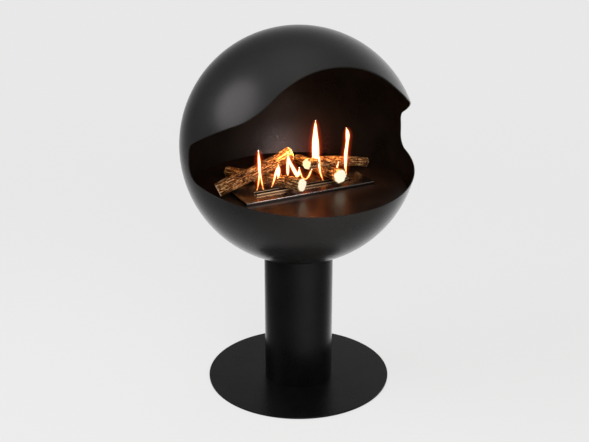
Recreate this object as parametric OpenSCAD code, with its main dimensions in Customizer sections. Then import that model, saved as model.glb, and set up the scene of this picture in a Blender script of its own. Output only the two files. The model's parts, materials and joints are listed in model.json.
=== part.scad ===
// Floor-standing bioethanol fireplace: a hollow steel globe with a side-wide mouth on a tubular
// pedestal and a round base. A slot burner sits in its hearth plate, with four ceramic logs.
// Millimetres, +Z up. The origin is on the floor, on the pedestal axis. The mouth faces -Y.

/* [Globe] */
// Outer diameter of the globe
globe_d = 670; // [600:1:760]
// Wall of the globe
shell_t = 3; // [2:0.5:5]

/* [Mouth] */
// How far behind the globe's front half plane the mouth starts, forward of the axis
mouth_rear_y = 3.4; // [0:0.1:12]
// Height of the mouth's upper rear corner over the globe's centre
mouth_top_z = 49; // [40:1:70]
// Height of the mouth's lower rear corner over the globe's centre
mouth_bottom_z = -42.5; // [-50:0.5:-30]
// Rise of the hood's side edge towards the front
hood_angle = 29.3; // [20:0.1:36]
// Fall of the lower lip towards the front
lip_angle = 9.4; // [6:0.1:12]
// Distance of the hood's upright front edge from the axis
hood_y = 198; // [180:1:215]
// Radius where the hood's side edge turns up into its front edge
hood_r = 75; // [40:1:100]
// Radius of the mouth's upper rear corner
mouth_top_r = 34; // [15:1:40]
// Radius of the mouth's lower rear corner
mouth_bottom_r = 43; // [15:1:48]

/* [Pedestal] */
// Outer diameter of the pedestal tube
tube_d = 200; // [160:1:230]
// Wall of the pedestal tube
tube_t = 3; // [2:0.5:5]
// Length of the pedestal tube on its outside
tube_len = 400; // [250:5:700]
// Thickness of the dished saddle and clamp plates
saddle_t = 4; // [3:0.5:6]
// Outer diameter of the clamp plate inside the globe
clamp_d = 150; // [130:1:170]
// Circle of the saddle bolts
saddle_pcd = 100; // [80:1:110]
// Number of saddle bolts
saddle_bolts_n = 4; // [3:1:6]
// Thread diameter of the saddle bolts
saddle_bolt_d = 10; // [8:1:12]

/* [Base] */
// Diameter of the base plate
base_d = 540; // [460:5:640]
// Thickness of the base plate
base_t = 5; // [4:1:10]
// Thickness of the ring welded into the tube's foot
flange_t = 8; // [6:1:12]
// Width of the ring welded into the tube's foot
ring_w = 37; // [30:1:50]
// Distance of the base screws in from the tube's inner wall
screw_inset = 19; // [14:1:24]
// Number of base screws
base_screws_n = 6; // [4:1:8]
// Thread diameter of the base screws
base_screw_d = 8; // [6:1:10]
// Thickness of the floor pads
pad_t = 2; // [1:0.5:4]
// Diameter of the floor pads
pad_d = 40; // [25:1:50]
// Distance of the outer floor pads' middles in from the base plate's edge
pad_inset = 35; // [30:1:80]
// Number of outer floor pads
pads_n = 8; // [4:1:12]

/* [Hearth] */
// Depth of the hearth's top below the globe's centre
hearth_drop = 122; // [110:1:140]
// Thickness of the hearth plate
hearth_t = 3; // [2:0.5:5]
// Number of hearth brackets
brackets_n = 6; // [4:1:8]
// Reach of the brackets in under the hearth plate from its edge
bracket_reach = 45; // [38:1:60]
// Width of a bracket's shelf
bracket_w = 30; // [20:1:40]
// Height of a bracket's web
bracket_h = 48; // [30:1:60]
// Sheet of the brackets
bracket_t = 3; // [2:0.5:4]
// Thickness of the fibre pads on the brackets
fibre_t = 2; // [1:0.5:4]

/* [Burner] */
// Overhang of the burner's cover plate past the casing's ends
cover_rim_x = 14; // [10:0.5:20]
// Overhang of the cover plate past the casing's front and back
cover_rim_y = 11; // [8:0.5:16]
// Height of the cover plate's folded edge
cover_h = 8; // [7:0.5:12]
// Distance of the cover's middle behind the axis
cover_y = -18; // [-24:1:-10]
// Sheet of the cover and the casing
sheet_t = 1.5; // [1:0.1:2]
// Length of the fire slot between its lips
slot_len = 290; // [240:1:300]
// Distance of the slot's middle from the axis along the burner
slot_x = -5; // [-12:1:0]
// Width of the fire slot over its lips
slot_w = 20; // [14:0.5:24]
// How far the slot's middle lies in front of the cover's middle
slot_forward = 12.5; // [6:0.5:16]
// Height of the lips over the cover plate
lip_h = 5; // [3:0.5:8]
// Sheet of the lips
lip_t = 1.2; // [0.8:0.1:1.5]
// Room between the fuel tank's ends and the casing
tank_room_x = 13; // [8:0.5:20]
// Room between the fuel tank's front or back and the casing
tank_room_y = 8; // [4:0.5:12]
// Depth of the burner casing below the hearth
casing_h = 62; // [56:1:80]
// How far the fuel tank runs past each end of the slot
tank_past_slot = 28; // [20:1:40]
// Depth of the fuel tank, front to back
tank_d = 90; // [76:1:94]
// Height of the fuel tank
tank_h = 52; // [46:1:52]
// Sheet of the fuel tank
tank_t = 1.2; // [0.8:0.1:1.5]
// Height of the absorbent pack
pack_h = 40; // [25:1:42]
// Sheet of the grid on the pack
grid_t = 1.2; // [0.8:0.1:2]

/* [Shutter] */
// Width of the shutter
shutter_w = 24; // [22:0.5:28]
// Sheet of the shutter
shutter_t = 1.2; // [0.8:0.1:1.5]
// Travel of the shutter from open to shut
shutter_travel = 24; // [22:0.5:28]
// Room between the shutter's ends and the casing
shutter_room = 6.5; // [4:0.5:9]
// Reach of a rail's shelf in from the casing's end wall
rail_shelf = 26; // [20:1:30]
// Width of the pull tab
tab_w = 5.5; // [4:0.5:7]
// Diameter of the pull tab's hook hole
hook_d = 3; // [2:0.5:3.5]

/* [Logs] */
// Depth of the furrows in the bark
furrow = 0.7; // [0:0.1:0.8]
// Radius of the lower left log at its back end
log_a_r1 = 16; // [12:0.5:20]
// Radius of the lower left log at its front end
log_a_r2 = 18; // [12:0.5:22]
// Radius of the upper left log at its low end
log_b_r1 = 21; // [14:0.5:24]
// Radius of the upper left log at its raised end
log_b_r2 = 16.5; // [12:0.5:22]
// Radius of the lower right log at its back end
log_c_r1 = 16; // [12:0.5:20]
// Radius of the lower right log at its front end
log_c_r2 = 20.5; // [14:0.5:24]
// Radius of the upper right log at its raised end
log_d_r1 = 14; // [10:0.5:18]
// Radius of the upper right log at its low end
log_d_r2 = 12.5; // [10:0.5:18]

/* [Hidden] */
$fn = 96;

// Gap left for a weld, and gap between pieces that only rest or slide
weld_gap = 0.2;
rest_gap = 0.3;
// Play of a screw, bolt or rivet in its hole, on the radius
hole_play = 0.1;
// Overshoot of a cutting body past the face that it cuts
over = 1;

globe_r = globe_d / 2;
inner_r = globe_r - shell_t;
tube_r = tube_d / 2;
tube_bore_r = tube_r - tube_t;
screw_circle_r = tube_bore_r - screw_inset;
pad_circle_r = base_d / 2 - pad_inset;
base_z = pad_t;
base_top = base_z + base_t;
cope_r = globe_r + weld_gap;
globe_z = base_top + tube_len + sqrt(cope_r * cope_r - tube_r * tube_r);
hearth_z = globe_z - hearth_drop;

// Steps of each rounded corner of the mouth, and how far its outline runs past the globe
corner_steps = 16;
mouth_reach = globe_r + 20;

// Fasteners of the base: countersunk head and its drive socket
base_head_r = base_screw_d;
base_socket_af = 5;
base_socket_depth = 2.5;

// Saddle fasteners: hexagon across corners, head and nut height, washer
hex_r = saddle_bolt_d * 0.92;
bolt_head_h = saddle_bolt_d * 0.64;
nut_h = saddle_bolt_d * 0.8;
washer_r = saddle_bolt_d;
washer_t = 2;
thread_past_nut = 3;
saddle_tilt = asin(saddle_pcd / 2 / globe_r);
saddle_outer_r = cope_r + saddle_t;
clamp_outer_r = inner_r - weld_gap;
clamp_inner_r = clamp_outer_r - saddle_t;

// Hearth plate and its supports
hearth_r = sqrt(inner_r * inner_r - pow(hearth_drop + hearth_t, 2)) - rest_gap;
bracket_in = hearth_r - bracket_reach;
fibre_top = hearth_z - hearth_t;
shelf_top = fibre_top - fibre_t;
fibre_w = bracket_w - 4;
fibre_len = 26;
fibre_in = bracket_in + 4;
cutout_play = 1;

// Burner in plan: the tank round the slot, the casing round the tank, and the cover over both
slot_y = cover_y - slot_forward;
slot_left_x = slot_x - slot_len / 2;
slot_right_x = slot_x + slot_len / 2;
tank_w = slot_len + 2 * tank_past_slot;
casing_w = tank_w + 2 * tank_room_x;
casing_d = tank_d + 2 * tank_room_y;
cover_w = casing_w + 2 * cover_rim_x;
cover_d = casing_d + 2 * cover_rim_y;
cover_back_y = cover_y + cover_d / 2;

// Burner, measured up from the hearth's top
skin_z = cover_h - sheet_t;
lip_top = cover_h + lip_h;
lip_foot = 8;
flange_w = 8;
casing_in_w = casing_w - 2 * sheet_t;
casing_in_d = casing_d - 2 * sheet_t;
casing_floor = -casing_h + sheet_t;
tank_floor = casing_floor + tank_t;
pack_top = tank_floor + pack_h;
grid_nx = 20;
grid_ny = 5;
grid_rib = 3;

// Shutter, its rails and its pull tab, measured up from the hearth's top
rail_t = 1.5;
shutter_headroom = 4;
shelf_z = skin_z - shutter_headroom;
rail_leg = 16;
stop_play = 0.5;
stop_top = skin_z - stop_play;
shutter_len = casing_in_w - 2 * shutter_room;
shutter_z = shelf_z + weld_gap;
shutter_shut_y = slot_y;
shutter_open_y = slot_y + shutter_travel;
rail_front = shutter_shut_y - shutter_w / 2 - rest_gap - rail_t;
rail_back = shutter_open_y + shutter_w / 2 + rest_gap + rail_t;
rivet_r = 2;
rivet_head_r = 3.5;
rivet_head_t = 1;
rivet_z = -8;
rivet_inset = 14;
tab_t = 1;
tab_foot = 8;
tab_top = lip_top - 1;
tab_play = 1.5;
tab_x = slot_right_x + tab_play;
tab_y = shutter_open_y - shutter_w / 2;
tab_slot_w = tab_w + 2 * tab_play;
tab_rivet_r = 0.8;
tab_rivet_head_r = 1.3;
tab_rivet_head_t = 0.6;
tab_rivet_x = 1.3;

// Where each log end lies, to the right of and behind the slot's end or middle, or the cover's edge
log_a_back_step = [0, 117];
log_a_front_step = [118, -53.5];
log_b_low_step = [-43, -27.5];
log_b_high_step = [-3.5, -8];
log_c_back_step = [-54.5, 128.5];
log_c_front_step = [-42.5, -37];
log_d_high_step = [6, -15.5];
log_d_low_step = [57, 19];
log_a_back = [slot_left_x, cover_back_y] + log_a_back_step;
log_a_front = [slot_left_x, slot_y] + log_a_front_step;
log_b_low = [-cover_w / 2, cover_back_y] + log_b_low_step;
log_b_high = [slot_x, cover_back_y] + log_b_high_step;
log_c_back = [slot_right_x, cover_back_y] + log_c_back_step;
log_c_front = [slot_right_x, slot_y] + log_c_front_step;
log_d_high = [slot_x, slot_y] + log_d_high_step;
log_d_low = [cover_w / 2, cover_back_y] + log_d_low_step;
// Rise of the upper right log's bow over the straight line between its ends
log_d_bow = 7;
log_sides = 20;
log_rings = 14;
// How late the lower right log flares towards its cut front end
flare_power = 4;
// First guess of an upper log's raised height, and the steps from there to contact
guess_z = 60;
contact_steps = 6;

function unit(v) = v / norm(v);

// Arc that rounds the corner p between the points a and b with radius r
function corner(p, a, b, r) =
    r == 0 ? [p] :
    let (
        u = unit(a - p),
        v = unit(b - p),
        half = acos(u * v) / 2,
        c = p + unit(u + v) * r / sin(half),
        s = p + u * r / tan(half) - c,
        e = p + v * r / tan(half) - c,
        start = atan2(s[1], s[0]),
        sweep = (atan2(e[1], e[0]) - start + 3 * 180) % 360 - 180
    )
    [for (k = [0:corner_steps]) c + r * [cos(start + sweep * k / corner_steps),
        sin(start + sweep * k / corner_steps)]];

function rounded(pts, radii) =
    let (n = len(pts))
    [for (i = [0:n - 1]) each corner(pts[i], pts[(i + n - 1) % n], pts[(i + 1) % n], radii[i])];

// Side outline of the mouth: forward of the axis, and up from the globe's centre
hood_corner_z = mouth_top_z + (hood_y - mouth_rear_y) * tan(hood_angle);
lip_end_z = mouth_bottom_z - (mouth_reach - mouth_rear_y) * tan(lip_angle);
mouth_outline = rounded(
    [[mouth_rear_y, mouth_bottom_z], [mouth_rear_y, mouth_top_z], [hood_y, hood_corner_z],
        [hood_y, mouth_reach], [mouth_reach, mouth_reach], [mouth_reach, lip_end_z]],
    [mouth_bottom_r, mouth_top_r, hood_r, 0, 0, 0]);

// Where two lines in plan cross, as a share of the first one
function cross_share(a, b, c, d) =
    let (u = b - a, v = d - c, w = c - a)
    (w[0] * v[1] - w[1] * v[0]) / (u[0] * v[1] - u[1] * v[0]);

function mix(a, b, t) = a + (b - a) * t;

// Height of a log's far end, when its near end lies at z1 and it rests on a bar at share t
function far_height(z1, z_bar, t) = z1 + (z_bar - z1) / t;

// Radius of a log at share t of its length, with a late flare when power is over 1
function log_radius(r1, r2, t, power = 1) = mix(r1, r2, pow(t, power));

// Vertical share of the shortest line between two axes with directions u and v
function lift_share(u, v) = let (n = cross(u, v)) abs(n[2]) / norm(n);

// Height of an upper log's raised end, found by stepping towards contact with the lower one
function raised_height(low, high, z_low, share, bow, u, z_under, reach, z, steps) =
    steps == 0 ? z :
    let (
        v = [high[0] - low[0], high[1] - low[1], z - z_low],
        z_cross = z_under + reach / lift_share(u, v),
        next = z_low + (z_cross - 4 * bow * share * (1 - share) - z_low) / share
    )
    raised_height(low, high, z_low, share, bow, u, z_under, reach, next, steps - 1);

// Height of a lower log's front end when an edge at depth y and height z carries it
function front_height(back, front, r1, r2, power, y, z) =
    let (t = (back[1] - y) / (back[1] - front[1]))
    far_height(r1 + rest_gap, z + log_radius(r1, r2, t, power) + rest_gap, t);

// Lower logs: the back end lies on the hearth, and the rear lip carries the front end, or the
// cover's back edge where that is reached first
lip_rest_y = slot_y + slot_w / 2;
function carried_height(back, front, r1, r2, power) =
    max(front_height(back, front, r1, r2, power, lip_rest_y, lip_top),
        front_height(back, front, r1, r2, power, cover_back_y, cover_h));
log_a_z1 = log_a_r1 + rest_gap;
log_a_z2 = carried_height(log_a_back, log_a_front, log_a_r1, log_a_r2, 1);
log_c_z1 = log_c_r1 + rest_gap;
log_c_z2 = carried_height(log_c_back, log_c_front, log_c_r1, log_c_r2, flare_power);

// Upper logs: the low end lies on the hearth, and the other end is raised by the lower log
ab_share = cross_share(log_b_low, log_b_high, log_a_back, log_a_front);
ba_share = cross_share(log_a_back, log_a_front, log_b_low, log_b_high);
log_b_z1 = log_b_r1 + rest_gap;
log_b_z2 = raised_height(log_b_low, log_b_high, log_b_z1, ab_share, 0,
    [log_a_front[0] - log_a_back[0], log_a_front[1] - log_a_back[1], log_a_z2 - log_a_z1],
    mix(log_a_z1, log_a_z2, ba_share),
    log_radius(log_a_r1, log_a_r2, ba_share) + log_radius(log_b_r1, log_b_r2, ab_share) + rest_gap,
    guess_z, contact_steps);
dc_share = cross_share(log_d_low, log_d_high, log_c_back, log_c_front);
cd_share = cross_share(log_c_back, log_c_front, log_d_low, log_d_high);
log_d_z1 = log_d_r2 + rest_gap;
log_d_z2 = raised_height(log_d_low, log_d_high, log_d_z1, dc_share, log_d_bow,
    [log_c_front[0] - log_c_back[0], log_c_front[1] - log_c_back[1], log_c_z2 - log_c_z1],
    mix(log_c_z1, log_c_z2, cd_share),
    log_radius(log_c_r1, log_c_r2, cd_share, flare_power)
        + log_radius(log_d_r2, log_d_r1, dc_share) + rest_gap,
    guess_z, contact_steps);

// Copies the children around the axis, at radius r
module around(n, r, start = 0) {
    for (i = [0:n - 1]) rotate([0, 0, start + 360 * i / n]) translate([r, 0, 0]) children();
}

// Ball around the globe's centre, with its poles at the front and the back
module ball(r) {
    translate([0, 0, globe_z]) rotate([90, 0, 0]) rotate([0, 0, 90]) sphere(r = r, $fn = 180);
}

// Places the children on each saddle bolt, with +Z away from the globe's centre
module at_saddle_bolts() {
    for (i = [0:saddle_bolts_n - 1])
        translate([0, 0, globe_z]) rotate([0, 0, 45 + 360 * i / saddle_bolts_n])
            rotate([0, 180 - saddle_tilt, 0]) children();
}

module saddle_holes() {
    at_saddle_bolts() translate([0, 0, clamp_inner_r - 10])
        cylinder(h = saddle_outer_r - clamp_inner_r + 20, r = saddle_bolt_d / 2 + hole_play);
}

module base_plate() {
    color("#262626") difference() {
        translate([0, 0, base_z]) cylinder(h = base_t, d = base_d, $fn = 180);
        around(base_screws_n, screw_circle_r) {
            translate([0, 0, base_z - over])
                cylinder(h = base_t + 2 * over, r = base_screw_d / 2 + hole_play);
            translate([0, 0, base_z - over])
                cylinder(h = base_head_r / 2 + over, r1 = base_head_r + over + hole_play,
                    r2 = base_screw_d / 2 + hole_play);
        }
    }
}

module floor_pads() {
    color("#1c1c1c") {
        cylinder(h = pad_t, d = pad_d);
        around(pads_n, pad_circle_r) cylinder(h = pad_t, d = pad_d);
    }
}

module base_flange() {
    color("#303030") translate([0, 0, base_top]) difference() {
        cylinder(h = flange_t, r = tube_bore_r - weld_gap);
        translate([0, 0, -over]) cylinder(h = flange_t + 2 * over, r = tube_bore_r - ring_w);
        around(base_screws_n, screw_circle_r) translate([0, 0, -over])
            cylinder(h = flange_t + 2 * over, r = base_screw_d / 2 + hole_play);
    }
}

module base_screws() {
    head_h = base_head_r - base_screw_d / 2;
    color("#9a9a9a") around(base_screws_n, screw_circle_r) translate([0, 0, base_z])
        difference() {
            union() {
                cylinder(h = head_h, r1 = base_head_r, r2 = base_screw_d / 2);
                cylinder(h = base_t + flange_t - 0.5, d = base_screw_d);
            }
            translate([0, 0, -over])
                cylinder(h = base_socket_depth + over, d = base_socket_af / cos(30), $fn = 6);
        }
}

module pedestal_tube() {
    color("#262626") difference() {
        translate([0, 0, base_top]) cylinder(h = globe_z - base_top, r = tube_r, $fn = 180);
        translate([0, 0, base_top - over]) cylinder(h = globe_z, r = tube_bore_r, $fn = 180);
        ball(cope_r);
    }
}

module saddle_plate() {
    color("#303030") difference() {
        intersection() {
            ball(saddle_outer_r);
            cylinder(h = globe_z, r = tube_bore_r - weld_gap);
        }
        ball(cope_r);
        saddle_holes();
    }
}

module clamp_plate() {
    color("#303030") difference() {
        intersection() {
            ball(clamp_outer_r);
            cylinder(h = globe_z, d = clamp_d);
        }
        ball(clamp_inner_r);
        saddle_holes();
    }
}

module saddle_bolts() {
    head_z = clamp_inner_r - weld_gap - washer_t;
    end_z = saddle_outer_r + weld_gap + washer_t + nut_h + thread_past_nut;
    color("#9a9a9a") at_saddle_bolts() {
        translate([0, 0, head_z - bolt_head_h]) cylinder(h = bolt_head_h, r = hex_r, $fn = 6);
        translate([0, 0, head_z - bolt_head_h])
            cylinder(h = end_z - head_z + bolt_head_h, d = saddle_bolt_d);
    }
}

module washer() {
    difference() {
        cylinder(h = washer_t, r = washer_r);
        translate([0, 0, -over])
            cylinder(h = washer_t + 2 * over, r = saddle_bolt_d / 2 + hole_play);
    }
}

module saddle_washers() {
    color("#b0b0b0") at_saddle_bolts() {
        translate([0, 0, clamp_inner_r - weld_gap - washer_t]) washer();
        translate([0, 0, saddle_outer_r + weld_gap]) washer();
    }
}

module saddle_nuts() {
    color("#9a9a9a") at_saddle_bolts()
        translate([0, 0, saddle_outer_r + weld_gap + washer_t]) difference() {
            cylinder(h = nut_h, r = hex_r, $fn = 6);
            translate([0, 0, -over])
                cylinder(h = nut_h + 2 * over, r = saddle_bolt_d / 2 + hole_play);
        }
}

module firebox_shell() {
    color("#222222") difference() {
        ball(globe_r);
        ball(inner_r);
        translate([0, 0, globe_z]) rotate([90, 0, -90])
            linear_extrude(height = 2 * mouth_reach, center = true) polygon(mouth_outline);
        saddle_holes();
    }
}

module hearth_brackets() {
    color("#303030") intersection() {
        ball(inner_r - weld_gap);
        for (i = [0:brackets_n - 1]) rotate([0, 0, 30 + 360 * i / brackets_n]) {
            translate([bracket_in, -bracket_w / 2, shelf_top - bracket_t])
                cube([inner_r - bracket_in, bracket_w, bracket_t]);
            translate([0, bracket_t / 2, shelf_top]) rotate([90, 0, 0])
                linear_extrude(height = bracket_t)
                    polygon([[bracket_in + 4, 0], [inner_r, 0], [inner_r, -bracket_h],
                        [bracket_in + 20, -bracket_h]]);
        }
    }
}

module bracket_pads() {
    color("#d8d4c8") for (i = [0:brackets_n - 1]) rotate([0, 0, 30 + 360 * i / brackets_n])
        translate([fibre_in, -fibre_w / 2, shelf_top]) cube([fibre_len, fibre_w, fibre_t]);
}

module hearth_plate() {
    color("#1e1a18") translate([0, 0, hearth_z - hearth_t]) difference() {
        cylinder(h = hearth_t, r = hearth_r, $fn = 180);
        translate([-casing_w / 2 - cutout_play, cover_y - casing_d / 2 - cutout_play, -over])
            cube([casing_w + 2 * cutout_play, casing_d + 2 * cutout_play, hearth_t + 2 * over]);
    }
}

// Box with its middle at x 0 and y at the cover's middle, from height z1 to z2 over the hearth
module burner_box(w, d, z1, z2) {
    translate([-w / 2, cover_y - d / 2, hearth_z + z1]) cube([w, d, z2 - z1]);
}

module burner_cover() {
    color("#8c8682") difference() {
        burner_box(cover_w, cover_d, 0, cover_h);
        burner_box(cover_w - 2 * sheet_t, cover_d - 2 * sheet_t, -over, skin_z);
        translate([slot_left_x, slot_y - slot_w / 2, hearth_z + skin_z - over])
            cube([slot_len, slot_w, sheet_t + 2 * over]);
        translate([tab_x - tab_play, tab_y - shutter_travel - tab_play - tab_t,
                hearth_z + skin_z - over])
            cube([tab_slot_w, shutter_travel + 2 * (tab_play + tab_t), sheet_t + 2 * over]);
    }
}

// Angle strip along the slot, with its upright on the slot's front edge
module slot_lip() {
    translate([slot_left_x, -slot_w / 2, hearth_z + skin_z - lip_t]) {
        translate([0, weld_gap, 0]) cube([slot_len, lip_t, lip_top - skin_z + lip_t]);
        translate([0, -lip_foot, 0]) cube([slot_len, lip_foot + weld_gap + lip_t, lip_t]);
    }
}

module slot_lip_front() {
    color("#a8a29c") translate([0, slot_y, 0]) slot_lip();
}

module slot_lip_rear() {
    color("#a8a29c") translate([0, slot_y, 0]) mirror([0, 1, 0]) slot_lip();
}

module rail_rivet_holes(r) {
    for (side = [-1, 1]) for (y = [rail_front + rivet_inset, rail_back - rivet_inset])
        translate([side * casing_in_w / 2, y, hearth_z + rivet_z]) rotate([0, side * 90, 0])
            translate([0, 0, -rail_t - over]) cylinder(h = rail_t + sheet_t + 2 * over, r = r);
}

module burner_casing() {
    color("#6e6a66") difference() {
        union() {
            burner_box(casing_w, casing_d, -casing_h, sheet_t);
            burner_box(casing_w + 2 * flange_w, casing_d + flange_w, 0, sheet_t);
        }
        burner_box(casing_in_w, casing_in_d, casing_floor, sheet_t + over);
        rail_rivet_holes(rivet_r + hole_play);
    }
}

module fuel_tank() {
    color("#7c7874") difference() {
        burner_box(tank_w, tank_d, casing_floor, casing_floor + tank_h);
        burner_box(tank_w - 2 * tank_t, tank_d - 2 * tank_t, tank_floor, casing_floor + tank_h + over);
    }
}

module absorbent_pack() {
    color("#e6e2d8")
        burner_box(tank_w - 2 * (tank_t + rest_gap), tank_d - 2 * (tank_t + rest_gap), tank_floor,
            pack_top);
}

module pack_grid() {
    w = tank_w - 2 * (tank_t + rest_gap);
    d = tank_d - 2 * (tank_t + rest_gap);
    cell_x = (w - grid_rib) / grid_nx;
    cell_y = (d - grid_rib) / grid_ny;
    color("#8a8680") difference() {
        burner_box(w, d, pack_top, pack_top + grid_t);
        for (i = [0:grid_nx - 1], j = [0:grid_ny - 1])
            translate([-w / 2 + grid_rib + i * cell_x, cover_y - d / 2 + grid_rib + j * cell_y,
                    hearth_z + pack_top - over])
                cube([cell_x - grid_rib, cell_y - grid_rib, grid_t + 2 * over]);
    }
}

module shutter_rails() {
    wall_x = casing_in_w / 2 - weld_gap;
    color("#7c7874") difference() {
        for (side = [0, 1]) mirror([side, 0, 0])
            translate([wall_x, 0, hearth_z]) {
                translate([-rail_shelf, rail_front, shelf_z - rail_t])
                    cube([rail_shelf, rail_back - rail_front, rail_t]);
                translate([-rail_t, rail_front, shelf_z - rail_leg])
                    cube([rail_t, rail_back - rail_front, rail_leg]);
                for (y = [rail_front, rail_back - rail_t])
                    translate([-rail_shelf, y, shelf_z - rail_t])
                        cube([rail_shelf / 2, rail_t, stop_top - shelf_z + rail_t]);
            }
        rail_rivet_holes(rivet_r + hole_play);
    }
}

module rail_rivets() {
    grip = rail_t + sheet_t + weld_gap;
    color("#b0b0b0") for (side = [-1, 1])
        for (y = [rail_front + rivet_inset, rail_back - rivet_inset])
            translate([side * (casing_in_w / 2 - weld_gap - rail_t), y, hearth_z + rivet_z])
                rotate([0, side * 90, 0]) {
                    translate([0, 0, -rivet_head_t]) cylinder(h = rivet_head_t, r = rivet_head_r);
                    translate([0, 0, -rivet_head_t]) cylinder(h = grip + rivet_head_t, r = rivet_r);
                    translate([0, 0, grip]) cylinder(h = rivet_head_t, r = rivet_head_r);
                }
}

module tab_rivet_places() {
    for (x = [tab_rivet_x, tab_w - tab_rivet_x])
        translate([tab_x + x, tab_y + tab_foot / 2 + tab_t, hearth_z + shutter_z]) children();
}

module shutter() {
    color("#7a7672") difference() {
        translate([-shutter_len / 2, shutter_open_y - shutter_w / 2, hearth_z + shutter_z])
            cube([shutter_len, shutter_w, shutter_t]);
        tab_rivet_places() translate([0, 0, -over])
            cylinder(h = shutter_t + 2 * over, r = tab_rivet_r + hole_play);
    }
}

module shutter_tab() {
    foot_z = hearth_z + shutter_z + shutter_t;
    color("#b8b2ac") difference() {
        translate([tab_x, tab_y, foot_z]) {
            cube([tab_w, tab_foot, tab_t]);
            cube([tab_w, tab_t, hearth_z + tab_top - foot_z]);
        }
        translate([tab_x + tab_w / 2, tab_y - over, hearth_z + tab_top - hook_d])
            rotate([-90, 0, 0]) cylinder(h = tab_t + 2 * over, d = hook_d);
        tab_rivet_places() translate([0, 0, shutter_t - over])
            cylinder(h = tab_t + 2 * over, r = tab_rivet_r + hole_play);
    }
}

module tab_rivets() {
    grip = shutter_t + tab_t;
    color("#b0b0b0") tab_rivet_places() {
        translate([0, 0, -tab_rivet_head_t])
            cylinder(h = grip + 2 * tab_rivet_head_t, r = tab_rivet_r);
        translate([0, 0, -tab_rivet_head_t])
            cylinder(h = tab_rivet_head_t, r = tab_rivet_head_r);
        translate([0, 0, grip]) cylinder(h = tab_rivet_head_t, r = tab_rivet_head_r);
    }
}

// A log from p1 to p2: round rings along its bowed axis. Furrows are cut into the bark of its
// flanks, and its top and underside keep their full radius, because logs rest on each other there.
module log_body(p1, p2, r1, r2, bow = 0, power = 1, turn = 0) {
    dir = unit(p2 - p1);
    side = unit(cross([0, 0, 1], dir));
    lift = cross(dir, side);
    function ring_point(i, j) =
        let (
            t = i / log_rings,
            a = 360 * j / log_sides,
            bark = furrow * abs(cos(a)) * (1 + sin(3 * a + 200 * t + turn) * cos(5 * a - 310 * t)) / 2,
            r = log_radius(r1, r2, t, power) - bark
        )
        p1 + (p2 - p1) * t + [0, 0, 4 * bow * t * (1 - t)] + r * (cos(a) * side + sin(a) * lift);
    points = [for (i = [0:log_rings], j = [0:log_sides - 1]) ring_point(i, j)];
    walls = [for (i = [0:log_rings - 1], j = [0:log_sides - 1])
        let (k = (j + 1) % log_sides, a = i * log_sides, b = a + log_sides)
        each [[a + j, b + j, b + k], [a + j, b + k, a + k]]];
    near_cap = [[for (j = [0:log_sides - 1]) j]];
    far_cap = [[for (j = [0:log_sides - 1]) log_rings * log_sides + log_sides - 1 - j]];
    translate([0, 0, hearth_z])
        polyhedron(points = points, faces = concat(near_cap, walls, far_cap));
}

function end_point(p, z) = [p[0], p[1], z];

module log_left_lower() {
    color("#7a5338") log_body(end_point(log_a_back, log_a_z1), end_point(log_a_front, log_a_z2),
        log_a_r1, log_a_r2, turn = 20);
}

module log_left_upper() {
    color("#8a6040") log_body(end_point(log_b_low, log_b_z1), end_point(log_b_high, log_b_z2),
        log_b_r1, log_b_r2, turn = 110);
}

module log_right_lower() {
    color("#7a5338") log_body(end_point(log_c_back, log_c_z1), end_point(log_c_front, log_c_z2),
        log_c_r1, log_c_r2, power = flare_power, turn = 200);
}

module log_right_upper() {
    color("#8a6040") log_body(end_point(log_d_low, log_d_z1), end_point(log_d_high, log_d_z2),
        log_d_r2, log_d_r1, bow = log_d_bow, turn = 290);
}

base_plate();
floor_pads();
base_flange();
base_screws();
pedestal_tube();
saddle_plate();
clamp_plate();
saddle_bolts();
saddle_washers();
saddle_nuts();
firebox_shell();
hearth_brackets();
bracket_pads();
hearth_plate();
burner_cover();
slot_lip_front();
slot_lip_rear();
burner_casing();
fuel_tank();
absorbent_pack();
pack_grid();
shutter_rails();
rail_rivets();
shutter();
shutter_tab();
tab_rivets();
log_left_lower();
log_left_upper();
log_right_lower();
log_right_upper();
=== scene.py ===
"""Looks of the floor-standing bioethanol fireplace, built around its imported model. Metres, +Z up."""
import json
import math

import bmesh
import bpy
import numpy as np
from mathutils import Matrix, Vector


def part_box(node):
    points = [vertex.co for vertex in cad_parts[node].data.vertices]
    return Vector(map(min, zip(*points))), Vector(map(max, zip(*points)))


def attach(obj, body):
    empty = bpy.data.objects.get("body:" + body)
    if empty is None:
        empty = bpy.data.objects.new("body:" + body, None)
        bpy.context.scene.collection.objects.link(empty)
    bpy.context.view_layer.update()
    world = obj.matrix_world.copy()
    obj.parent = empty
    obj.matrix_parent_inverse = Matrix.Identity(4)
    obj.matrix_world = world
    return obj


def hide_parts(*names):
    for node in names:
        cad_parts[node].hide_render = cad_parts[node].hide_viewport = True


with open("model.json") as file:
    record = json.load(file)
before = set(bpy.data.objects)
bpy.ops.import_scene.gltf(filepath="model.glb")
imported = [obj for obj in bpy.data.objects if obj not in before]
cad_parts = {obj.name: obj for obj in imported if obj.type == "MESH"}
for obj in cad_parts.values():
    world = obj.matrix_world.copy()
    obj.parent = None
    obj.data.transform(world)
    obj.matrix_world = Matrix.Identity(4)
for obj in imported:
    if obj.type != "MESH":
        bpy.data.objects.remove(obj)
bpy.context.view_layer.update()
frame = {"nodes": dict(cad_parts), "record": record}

MM = 0.001

# Camera: where the photograph was taken from, for an image of 589 x 442
CAMERA_PLACE = (-1.41575, -2.77044, 1.74316)
CAMERA_DOWN = math.radians(21.818)
CAMERA_TURN = math.radians(26.847)
CAMERA_SIGHT = 100
LENS = 70.98
SENSOR = 36.0

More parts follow.
